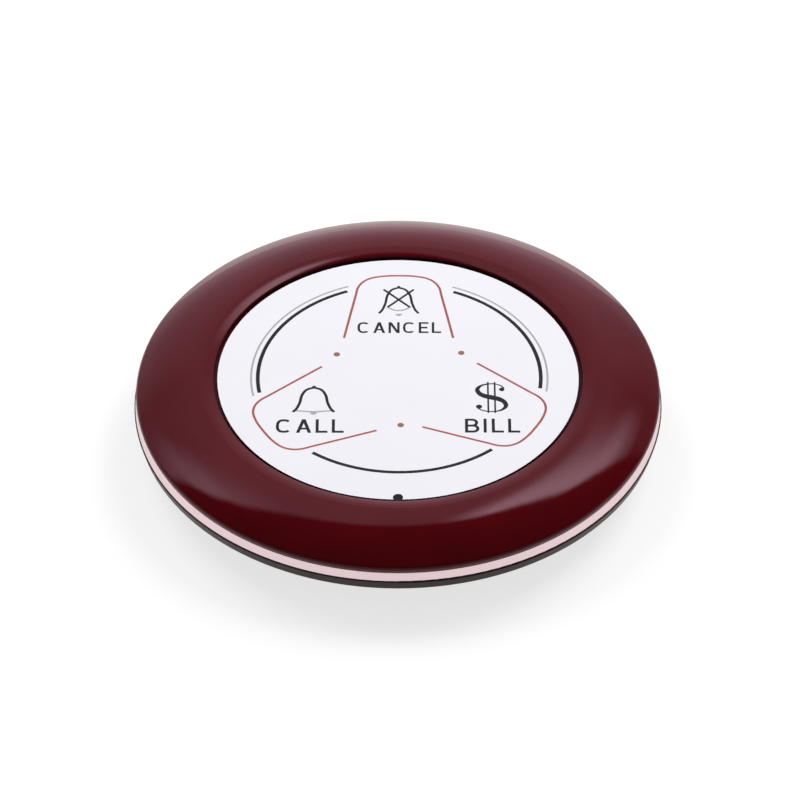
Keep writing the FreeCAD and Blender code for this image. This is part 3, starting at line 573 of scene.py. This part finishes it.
def winding_surface():
    """Enamelled copper, with each turn of the winding showing as a fine ridge."""
    s = Surface("winding", Metallic=1.0)
    turns = s.noise(0.09, 0.0, place=s.stretched((0.15, 0.15, 1.0)))
    s.colour(turns, shades(COPPER, 0.2))
    return s.rough(turns, 0.22, 0.36).relief((turns, 0.02))


def steel_surface():
    """Worn steel of the screws."""
    s = Surface("screw_steel", Metallic=1.0)
    s.colour(s.noise(0.8, 3.0), shades(STEEL, 0.10))
    return s.rough(s.noise(0.25, 4.0), 0.2, 0.36).relief((s.noise(0.12, 2.0), 0.002))


# The material of each of the frame's slots.
surfaces = {
    "cover_plastic": cover_surface(),
    "trim_metal": trim_surface(),
    "base_plastic": base_surface(),
    "seal_rubber": rubber_surface("seal_rubber", SEAL_BLACK, 0.2),
    "foot_rubber": rubber_surface("foot_rubber", FOOT_BLACK, 0.3),
    "label_film": film_surface(),
    "adhesive_film": adhesive_surface(),
    "clear_plastic": guide_surface(),
    "board_laminate": board_surface(),
    "chip_plastic": plastic_surface("chip_epoxy", CHIP_BLACK, 0.5, 0.65, 0.12, 0.004),
    "plated_metal": metal_surface("plated_metal", PLATED_GREY, 0.18, 0.32, (1.0, 7.0, 1.0)),
    "led_resin": resin_surface(),
    "capacitor_ceramic": ceramic_surface(),
    "copper_wire": winding_surface(),
    "holder_plastic": plastic_surface("holder_plastic", HOLDER_BLACK, 0.36, 0.5),
    "key_plastic": plastic_surface("key_plastic", KEY_GREY, 0.34, 0.46),
    "screw_steel": steel_surface(),
}
slot_of_node = {row["node"]: row["material_slot"] for row in frame["record"]["subparts"]}
for name, node in frame["nodes"].items():
    for slot in node.material_slots:
        slot.material = surfaces[slot_of_node[name]].material

# ---------------------------------------------------------------- printed face label
# Lengths from here to the end of the label are in millimetres, x to the right and y to the back.

# Angles between neighbouring points on round stretches.
ARC_STEP = math.radians(2.0)
RIM_STEP = math.radians(1.5)
CORNER_STEP = math.radians(7.0)
BOWL_STEP = math.radians(12.0)
CLAPPER_STEP = math.radians(15.0)
DISC_STEP = math.radians(20.0)

# The opening for the status light in the label's front edge.
LIGHT_RADIUS = LABEL_RADIUS - 0.5
LIGHT_OPENING = 0.85

# A finger zone, drawn for the one at the back and turned about the middle to the others.
ZONE_ANGLES = {"cancel": 90.0, "call": 210.0, "bill": 330.0}
WINDOW_INNER = 10.18
WINDOW_OUTER = 26.22
WINDOW_HALF = 9.47
WINDOW_NARROWING = 0.17
WINDOW_INNER_ROUND = 1.4
WINDOW_OUTER_ROUND = 3.8

# The slope of the film round a pressed key, and the distance between the points that let it bend.
SLOPE_GRID = 0.55

# At a sharp bend a stroke widens no further than at this cosine.
SHARPEST_MITRE = 0.35

# Proportions of the plain capitals, as shares of the letter's width, height or stroke.
A_LEG = 1.12
A_BAR_INSET = 0.22
A_BAR_HEIGHT = 0.31
A_BAR_STROKE = 0.85
B_UPPER_WIDTH = 0.92
E_MIDDLE_BAR = 0.88
N_SLANT = 1.24
LETTER_WIDTHS = {"A": 1.08, "B": 1.0, "C": 1.12, "E": 0.88, "I": 0.27, "L": 0.84, "N": 1.0}
LETTER_SPACE = 0.30

# A C follows an oval that these powers square a little. Its mouth opens this many degrees up and down.
C_MOUTH = 48.0
C_STEPS = 30
C_POWERS = (0.75, 0.8)

# A bell's profile, in shares of half its width and of its height. The knob's radius is a share of the
# stroke, and the clapper's a share of half the width.
BELL_PROFILE = ((1.0, 0.0), (0.83, 0.13), (0.67, 0.38), (0.58, 0.66), (0.36, 0.88), (0.0, 0.97))
BELL_KNOB = 0.62
CLAPPER_SIZE = 0.17
CLAPPER_DROP = 0.12
FINE_LINE = 0.34

# The currency sign's fine uprights, and the places and radii of its ball ends.
UPRIGHT_ASIDE = 0.58
UPRIGHT_REACH = 3.95
UPRIGHT_WIDTH = 0.30
SIGN_BALLS = ((1.78, 2.05, 0.46), (-2.15, -2.35, 0.52))

# The red lines round the finger zones, with how far each lies off its zone's own axis.
LINE_WIDTH = 0.42
LINE_SHIFTS = {"cancel": 0.1, "call": -0.7, "bill": -0.32}

# The arcs along the label's edge. Those at the sides have a finer grey arc outside them.
ARC_CENTRE = (0.22, 0.0)
SIDE_ARCS = ((112.0, 190.0), (-7.3, 67.0))
FRONT_ARC = (-127.0, -50.0)
BLACK_ARC_RADIUS = 24.15
BLACK_ARC_WIDTH = 0.66
GREY_ARC_RADIUS = 25.3
GREY_ARC_OVERRUN = 1.5

DOT_RADIUS = 0.56
DOT_PLACES = ((-10.5, 5.7), (10.85, 6.1), (0.45, -12.4))


def arc_points(centre, radius, start, end, step=ARC_STEP):
    """Points from angle start to end, in radians, both included."""
    count = max(2, math.ceil(abs(end - start) / step))
    return [
        (centre[0] + radius * math.cos(start + (end - start) * i / count),
         centre[1] + radius * math.sin(start + (end - start) * i / count))
        for i in range(count + 1)
    ]


def rounded(corners, radii):
    """A closed outline through corners, each rounded by its own radius."""
    outline = []
    count = len(corners)
    for i, (corner, radius) in enumerate(zip(corners, radii)):
        here = Vector(corner)
        back = (Vector(corners[i - 1]) - here).normalized()
        ahead = (Vector(corners[(i + 1) % count]) - here).normalized()
        half = back.angle(ahead) / 2
        centre = here + (back + ahead).normalized() * (radius / math.sin(half))
        first = here + back * (radius / math.tan(half)) - centre
        last = here + ahead * (radius / math.tan(half)) - centre
        start = math.atan2(first.y, first.x)
        turn = (math.atan2(last.y, last.x) - start + math.pi) % (2 * math.pi) - math.pi
        outline += arc_points(centre, radius, start, start + turn, CORNER_STEP)
    return outline


def turned(points, degrees):
    """Points drawn for a zone at the back, turned about the middle to the zone at that angle."""
    angle = math.radians(degrees - 90.0)
    c, s = math.cos(angle), math.sin(angle)
    return [(x * c - y * s, x * s + y * c) for x, y in points]


def zone_outline():
    """The outline of the finger zone at the back, narrower at its far end, with rounded corners."""
    narrow = WINDOW_HALF - WINDOW_NARROWING * (WINDOW_OUTER - WINDOW_INNER)
    corners = [
        (-WINDOW_HALF, WINDOW_INNER), (WINDOW_HALF, WINDOW_INNER),
        (narrow, WINDOW_OUTER), (-narrow, WINDOW_OUTER),
    ]
    return rounded(corners, [WINDOW_INNER_ROUND] * 2 + [WINDOW_OUTER_ROUND] * 2)


def band(points, width=None):
    """A stroke along points, as one polygon. With no width given, a point's third number is its width."""
    left, right = [], []
    for i, point in enumerate(points):
        here = Vector(point[:2])
        before = Vector(points[max(i - 1, 0)][:2])
        after = Vector(points[min(i + 1, len(points) - 1)][:2])
        first = (here - before).normalized() if i else (after - here).normalized()
        last = (after - here).normalized() if i < len(points) - 1 else first
        normal = Vector((-(first + last).y, (first + last).x)).normalized()
        mitre = max(SHARPEST_MITRE, normal.dot(Vector((-first.y, first.x))))
        reach = (width or point[2]) / 2 / mitre
        left.append(tuple(here + normal * reach))
        right.append(tuple(here - normal * reach))
    return left + right[::-1]


def disc(centre, radius):
    """A filled circle."""
    return arc_points(centre, radius, 0.0, 2 * math.pi, DISC_STEP)[:-1]


def between_knots(p, q, r, s, t):
    """One coordinate of a Catmull-Rom curve, at share t of the way from q to r."""
    square, cube = 2 * p - 5 * q + 4 * r - s, 3 * q - p - 3 * r + s
    return 0.5 * (2 * q + (r - p) * t + square * t * t + cube * t ** 3)


def smooth_path(knots, per_span=6):
    """A Catmull-Rom curve through knots."""
    padded = [knots[0], *knots, knots[-1]]
    points = []
    for four in zip(padded, padded[1:], padded[2:], padded[3:]):
        for step in range(per_span):
            points.append(tuple(between_knots(*values, step / per_span) for values in zip(*four)))
    return points + [knots[-1]]


def slanted(x0, y0, x1, y1, width):
    """A slanted stroke with level ends."""
    return [(x0 - width / 2, y0), (x0 + width / 2, y0), (x1 + width / 2, y1), (x1 - width / 2, y1)]


def c_point(rx, ry, w, h, step):
    """One point of a C's squarish bow, rx and ry from its middle."""
    angle = math.radians(C_MOUTH + (360.0 - 2 * C_MOUTH) * step / C_STEPS)
    direction = (math.cos(angle), math.sin(angle))
    x, y = (math.copysign(abs(part) ** power, part) for part, power in zip(direction, C_POWERS))
    return (w / 2 + rx * x, h / 2 + ry * y)


def letter(kind, w, h, t):
    """The strokes of a plain capital, w wide, h high, with strokes t thick."""
    upright = band([(t / 2, 0), (t / 2, h)], t)
    if kind == "I":
        return [upright]
    if kind == "L":
        return [upright, band([(0, t / 2), (w, t / 2)], t)]
    if kind == "E":
        ends = ((w, t / 2), (E_MIDDLE_BAR * w, h / 2), (w, h - t / 2))
        return [upright, *[band([(0, y), (x, y)], t) for x, y in ends]]
    if kind == "N":
        far = band([(w - t / 2, 0), (w - t / 2, h)], t)
        return [upright, far, slanted(w - N_SLANT / 2 * t, 0, N_SLANT / 2 * t, h, N_SLANT * t)]
    if kind == "A":
        legs = [slanted(x, 0, w / 2, h, A_LEG * t) for x in (A_LEG / 2 * t, w - A_LEG / 2 * t)]
        bar = [(A_BAR_INSET * w, A_BAR_HEIGHT * h), ((1 - A_BAR_INSET) * w, A_BAR_HEIGHT * h)]
        return [*legs, band(bar, A_BAR_STROKE * t)]
    if kind == "C":
        return [band([c_point((w - t) / 2, (h - t) / 2, w, h, step) for step in range(C_STEPS + 1)], t)]
    bowls = []
    for low, high, reach in ((t / 2, h / 2, w - t / 2), (h / 2, h - t / 2, B_UPPER_WIDTH * w - t / 2)):
        radius = (high - low) / 2
        turn = arc_points((reach - radius, low + radius), radius, -math.pi / 2, math.pi / 2, BOWL_STEP)
        bowls.append(band([(0, low), *turn, (0, high)], t))
    return [upright, *bowls]


def word(text, left, right, foot, height, stroke):
    """A key's function word in plain capitals, filling left to right."""
    total = sum(LETTER_WIDTHS[c] for c in text) + LETTER_SPACE * (len(text) - 1)
    unit = (right - left) / total
    shapes, x = [], left
    for c in text:
        width = LETTER_WIDTHS[c] * unit
        for shape in letter(c, max(width, stroke), height, stroke):
            shapes.append([(x + px, foot + py) for px, py in shape])
        x += width + LETTER_SPACE * unit
    return shapes


def moved(shapes, dx, dy):
    """Shapes moved to the right by dx and to the back by dy."""
    return [[(x + dx, y + dy) for x, y in shape] for shape in shapes]


def bell(place, half, height, stroke, rim):
    """A plain bell standing on place: its outline and knob, then its finer rim and clapper."""
    left = smooth_path([(-x * half, y * height) for x, y in BELL_PROFILE])
    outline = left + [(-x, y) for x, y in left[-2::-1]]
    clapper = arc_points((0.0, -CLAPPER_DROP), CLAPPER_SIZE * half, math.pi, 2 * math.pi, CLAPPER_STEP)
    body = [band(outline, stroke), disc((0.0, height), BELL_KNOB * stroke)]
    fine = [band(smooth_path(rim), FINE_LINE), clapper]
    return moved(body, *place), moved(fine, *place)


def cross(centre, right, up, down, stroke):
    """Two crossing strokes that reach further up than down."""
    x, y = centre
    return [
        band([(x - side * right * down / up, y - down), (x + side * right, y + up)], stroke)
        for side in (1, -1)
    ]


def currency_sign(centre):
    """An S that swells along its back and tapers to ball ends, with two fine uprights through it."""
    x, y = centre
    knots = [
        (2.15, 2.35, 0.26), (1.50, 3.10, 0.26), (0.20, 3.50, 0.26), (-1.50, 3.15, 0.40),
        (-2.38, 2.15, 0.72), (-2.05, 1.05, 0.90), (-1.20, 0.40, 1.05), (0.0, 0.0, 1.15),
        (1.20, -0.40, 1.05), (2.10, -1.10, 0.90), (2.42, -2.20, 0.72), (1.55, -3.25, 0.40),
        (-0.15, -3.60, 0.26), (-1.65, -3.25, 0.26), (-2.45, -2.60, 0.26),
    ]
    bow = [(x + px, y + py, width) for px, py, width in smooth_path(knots, 4)]
    balls = [disc((x + px, y + py), radius) for px, py, radius in SIGN_BALLS]
    uprights = [
        band([(x + px, y - UPRIGHT_REACH), (x + px, y + UPRIGHT_REACH)], UPRIGHT_WIDTH)
        for px in (-UPRIGHT_ASIDE, UPRIGHT_ASIDE)
    ]
    return [band(bow), *balls, *uprights]


def zone_line(key):
    """The fine line round a finger zone, open towards the middle of the label."""
    flank = [(9.4, 10.0), (8.35, 16.2)]
    corner = [(7.4, 21.6), (7.1, 23.3), (6.25, 24.85), (4.75, 25.95), (2.4, 26.5), (0.0, 26.6)]
    right = flank + smooth_path(corner)
    whole = right + [(-x, y) for x, y in right[-2::-1]]
    return band(turned([(x + LINE_SHIFTS[key], y) for x, y in whole], ZONE_ANGLES[key]), LINE_WIDTH)


def edge_arc(radius, width, start, end):
    """An arc along the label's edge, from angle start to end in degrees."""
    return band(arc_points(ARC_CENTRE, radius, math.radians(start), math.radians(end)), width)


call_bell, call_bell_fine = bell(
    place=(-14.3, -9.1), half=3.5, height=6.4, stroke=0.50,
    rim=[(-3.15, 0.35), (0.0, 0.05), (3.15, 0.35)],
)
cancel_bell, cancel_bell_fine = bell(
    place=(0.13, 16.5), half=3.45, height=7.1, stroke=0.44,
    rim=[(-2.1, 1.75), (-1.1, 1.0), (0.0, 0.77), (1.1, 1.0), (2.1, 1.75)],
)
black_ink = [
    *word("CALL", left=-20.6, right=-9.15, foot=-14.35, height=3.4, stroke=0.52),
    *word("CANCEL", left=-7.0, right=7.45, foot=11.3, height=2.85, stroke=0.42),
    *word("BILL", left=11.3, right=20.6, foot=-14.3, height=3.5, stroke=0.52),
    *call_bell,
    *cancel_bell,
    *cross(centre=(0.13, 20.15), right=2.65, up=2.75, down=2.0, stroke=0.42),
    *currency_sign(centre=(15.88, -5.4)),
    *[edge_arc(BLACK_ARC_RADIUS, BLACK_ARC_WIDTH, *span) for span in (*SIDE_ARCS, FRONT_ARC)],
]
grey_ink = [
    *call_bell_fine,
    *cancel_bell_fine,
    *[
        edge_arc(GREY_ARC_RADIUS, FINE_LINE, start - GREY_ARC_OVERRUN, end + GREY_ARC_OVERRUN)
        for start, end in SIDE_ARCS
    ],
]
line_ink = [zone_line(key) for key in ZONE_ANGLES]
dot_ink = [disc(place, DOT_RADIUS) for place in DOT_PLACES]

# What is printed in each ink. Where shapes of two inks overlap, the later ink shows.
LABEL_INKS = [
    (dot_ink, ink_surface("ink_amber", INK_AMBER)),
    (line_ink, ink_surface("ink_red", INK_RED)),
    (grey_ink, ink_surface("ink_grey", INK_GREY)),
    (black_ink, ink_surface("ink_black", INK_BLACK)),
]
label_materials = [surfaces["label_film"], *[surface for _, surface in LABEL_INKS], film_edge_shade_surface()]
EDGE_SLOT = len(label_materials) - 1

# How the label is cut up: every triangle is kept, and points nearer to each other than this become one.
ALL_TRIANGLES = 0
SAME_POINT = 1e-5


def inside(points, outline):
    """For each point, whether it lies inside the closed outline."""
    points, ring = np.asarray(points), np.asarray(outline)
    x, y = points[:, :1], points[:, 1:]
    x0, y0 = ring[:, 0], ring[:, 1]
    x1, y1 = np.roll(x0, -1), np.roll(y0, -1)
    crosses = (y0 > y) != (y1 > y)
    with np.errstate(divide="ignore", invalid="ignore"):
        at = x0 + (y - y0) * (x1 - x0) / (y1 - y0)
    return (np.count_nonzero(crosses & (x < at), axis=1) % 2).astype(bool)


def distance_to(points, outline):
    """Each point's distance from the closed outline."""
    points, ring = np.asarray(points, float), np.asarray(outline, float)
    best = np.full(len(points), np.inf)
    for a, b in zip(ring, np.roll(ring, -1, axis=0)):
        along = b - a
        t = np.clip((points - a) @ along / (along @ along), 0, 1)
        best = np.minimum(best, np.linalg.norm(points - a - t[:, None] * along, axis=1))
    return best


def faces_up(a, b, c):
    """Whether a, b and c run anticlockwise, seen from above."""
    return np.cross(b - a, c - a) > 0


def cut_film(outer, holes, extra):
    """The film cut into triangles along every printed shape: points, faces and each face's ink slot."""
    points, edges = [], []
    for shape in [outer, *holes, *[shape for shapes, _ in LABEL_INKS for shape in shapes]]:
        start = len(points)
        points += shape
        edges += [(start + i, start + (i + 1) % len(shape)) for i in range(len(shape))]
    points += list(extra)
    found = delaunay_2d_cdt([Vector(p) for p in points], edges, [], ALL_TRIANGLES, SAME_POINT)
    flat, faces = np.array(found[0]), [tuple(f) for f in found[2]]
    middles = np.array([flat[list(f)].mean(axis=0) for f in faces])
    kept = inside(middles, outer)
    for hole in holes:
        kept &= ~inside(middles, hole)
    slots = np.zeros(len(faces), int)
    for slot, (shapes, _) in enumerate(LABEL_INKS, 1):
        for shape in shapes:
            slots[inside(middles, shape)] = slot
    faces = [f for f, keep in zip(faces, kept) if keep]
    faces = [f if faces_up(*flat[list(f)]) else f[::-1] for f in faces]
    used = sorted({i for f in faces for i in f})
    renumber = {old: new for new, old in enumerate(used)}
    return flat[used], [tuple(renumber[i] for i in f) for f in faces], slots[kept]


def label_piece(name, outer, holes=(), extra=()):
    """A piece of the film, with its printed top, its underside and its edges."""
    flat, faces, slots = cut_film(outer, holes, extra)
    count = len(flat)
    sides = dict.fromkeys((a, b) for f in faces for a, b in zip(f, f[1:] + f[:1]))
    border = [(a, b) for a, b in sides if (b, a) not in sides]
    vertices = [(x * MM, y * MM, z * MM) for z in (LABEL_TOP, LABEL_BOTTOM) for x, y in flat]
    under = [tuple(count + i for i in f[::-1]) for f in faces]
    walls = [(b, a, count + a, count + b) for a, b in border]
    mesh = bpy.data.meshes.new(name)
    mesh.from_pydata(vertices, [], faces + under + walls)
    mesh.polygons.foreach_set("material_index", [*slots, *([0] * len(under)), *([EDGE_SLOT] * len(walls))])
    for surface in label_materials:
        mesh.materials.append(surface.material)
    mesh.polygons.foreach_set("use_smooth", [True] * len(mesh.polygons))
    mesh.set_sharp_from_angle(angle=math.radians(30.0))
    piece = bpy.data.objects.new(name, mesh)
    bpy.context.scene.collection.objects.link(piece)
    return piece


def notched_rim():
    """The label's round outline with the status light's opening cut into its front edge."""
    squares = LABEL_RADIUS ** 2 - LIGHT_RADIUS ** 2 - LIGHT_OPENING ** 2
    half = math.acos(max(-1.0, min(1.0, squares / (2 * LIGHT_RADIUS * LIGHT_OPENING))))
    start, end = 1.5 * math.pi - half, -0.5 * math.pi + half
    opening = arc_points((0.0, -LIGHT_RADIUS), LIGHT_OPENING, start, end, BOWL_STEP)
    meet = math.atan2(opening[-1][1], opening[-1][0])
    round_part = arc_points((0.0, 0.0), LABEL_RADIUS, meet, math.pi - meet, RIM_STEP)
    return opening + round_part[1:-1]


def bending_points(ring):
    """Staggered points inside a finger zone, so that its film can bend."""
    span = np.arange(-LABEL_RADIUS, LABEL_RADIUS, SLOPE_GRID)
    grid = np.array([(x + (row % 2) * SLOPE_GRID / 2, y) for row, y in enumerate(span) for x in span])
    grid = grid[inside(grid, ring)]
    return [tuple(p) for p in grid[distance_to(grid, ring) > SLOPE_GRID / 2]]


zone_rings = {key: turned(zone_outline(), degrees) for key, degrees in ZONE_ANGLES.items()}
label_frame = label_piece("label_surround", notched_rim(), list(zone_rings.values()))
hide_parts("face_overlay")
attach(label_frame, "housing")
for key, ring in zone_rings.items():
    piece = label_piece(f"label_{key}_zone", ring, extra=bending_points(ring))
    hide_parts("face_overlay")
    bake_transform(piece)
